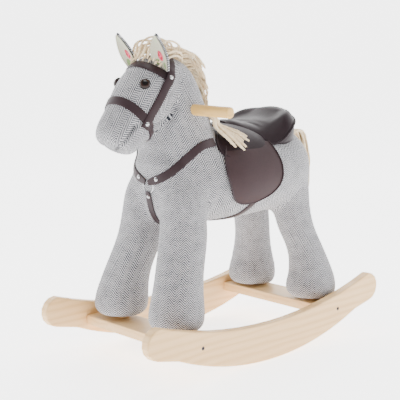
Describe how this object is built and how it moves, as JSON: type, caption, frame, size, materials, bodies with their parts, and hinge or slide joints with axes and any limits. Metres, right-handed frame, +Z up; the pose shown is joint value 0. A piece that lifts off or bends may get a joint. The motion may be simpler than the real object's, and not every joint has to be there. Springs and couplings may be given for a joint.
{
  "type": "rocking horse",
  "caption": "Soft fabric rocking horse with a padded saddle, bridle, breast collar and handle, standing on curved wooden rockers joined by crossbars.",
  "frame": {"origin": "floor level under the middle of the horse: centre of the bounding box across and along, lowest point of the rockers", "axes": "+Z up, +Y towards the tail, so the head faces -Y, and +X to the horse's left side"},
  "size_m": [0.3, 0.6196, 0.5913],
  "materials": {
    "grey_tweed": "matte",
    "printed_cotton": "matte",
    "cream_yarn": "matte",
    "saddle_leatherette": "satin",
    "strap_leatherette": "satin",
    "pine": "satin",
    "nickelled_steel": "polished",
    "blacked_steel": "satin",
    "brown_eye": "gloss",
    "white_plastic": "matte"
  },
  "bodies": {
    "root": {"body": "grey_tweed", "bolt_front_left": "blacked_steel", "bolt_front_right": "blacked_steel", "bolt_rear_left": "blacked_steel", "bolt_rear_right": "blacked_steel", "breast_rivet_left": "nickelled_steel", "breast_rivet_lower": "nickelled_steel", "breast_rivet_right": "nickelled_steel", "breast_strap_left": "strap_leatherette", "breast_strap_lower": "strap_leatherette", "breast_strap_right": "strap_leatherette", "browband": "strap_leatherette", "cheek_rivet_lower_left": "nickelled_steel", "cheek_rivet_lower_right": "nickelled_steel", "cheek_rivet_upper_left": "nickelled_steel", "cheek_rivet_upper_right": "nickelled_steel", "cheekpiece_left": "strap_leatherette", "cheekpiece_right": "strap_leatherette", "crossbar_front": "pine", "crossbar_rear": "pine", "crownpiece": "strap_leatherette", "ear_left": "grey_tweed", "ear_lining_left": "printed_cotton", "ear_lining_right": "printed_cotton", "ear_right": "grey_tweed", "eye_left": "brown_eye", "eye_right": "brown_eye", "eye_washer_left": "white_plastic", "eye_washer_right": "white_plastic", "forelock": "cream_yarn", "girth": "strap_leatherette", "handle": "pine", "head": "grey_tweed", "hip_bolster": "pine", "leg_front_left": "grey_tweed", "leg_front_right": "grey_tweed", "leg_post_front_left": "pine", "leg_post_front_right": "pine", "leg_post_rear_left": "pine", "leg_post_rear_right": "pine", "leg_rear_left": "grey_tweed", "leg_rear_right": "grey_tweed", "mane": "cream_yarn", "mane_lock": "cream_yarn", "neck_board": "pine", "noseband": "strap_leatherette", "post_screw_front_left": "nickelled_steel", "post_screw_front_right": "nickelled_steel", "post_screw_rear_left": "nickelled_steel", "post_screw_rear_right": "nickelled_steel", "rocker_left": "pine", "rocker_right": "pine", "saddle_seat": "saddle_leatherette", "saddle_skirt": "saddle_leatherette", "shoulder_bolster": "pine", "spine_board": "pine"},
    "flap_left": {"saddle_flap_left": "strap_leatherette"},
    "flap_right": {"saddle_flap_right": "strap_leatherette"},
    "tail": {"tail": "cream_yarn"},
    "ring": {"chest_ring": "nickelled_steel"}
  },
  "joints": [
    {"name": "flap_left_lift", "type": "hinge", "parent": "root", "child": "flap_left", "pos_m": [0.10053, -0.012, 0.3785], "axis": [0.0785, -0.9909, -0.1093], "range_deg": [0, 60]},
    {"name": "flap_right_lift", "type": "hinge", "parent": "root", "child": "flap_right", "pos_m": [-0.10051, -0.012, 0.3785], "axis": [0.0782, 0.9909, 0.1093], "range_deg": [0, 60]},
    {"name": "tail_swing", "type": "hinge", "parent": "root", "child": "tail", "pos_m": [0, 0.206, 0.3744], "axis": [1, 0, 0], "range_deg": [0, 60]},
    {"name": "chest_ring_turn", "type": "hinge", "parent": "root", "child": "ring", "pos_m": [0, -0.1842, 0.326], "axis": [0, -1, 0], "continuous": true}
  ]
}
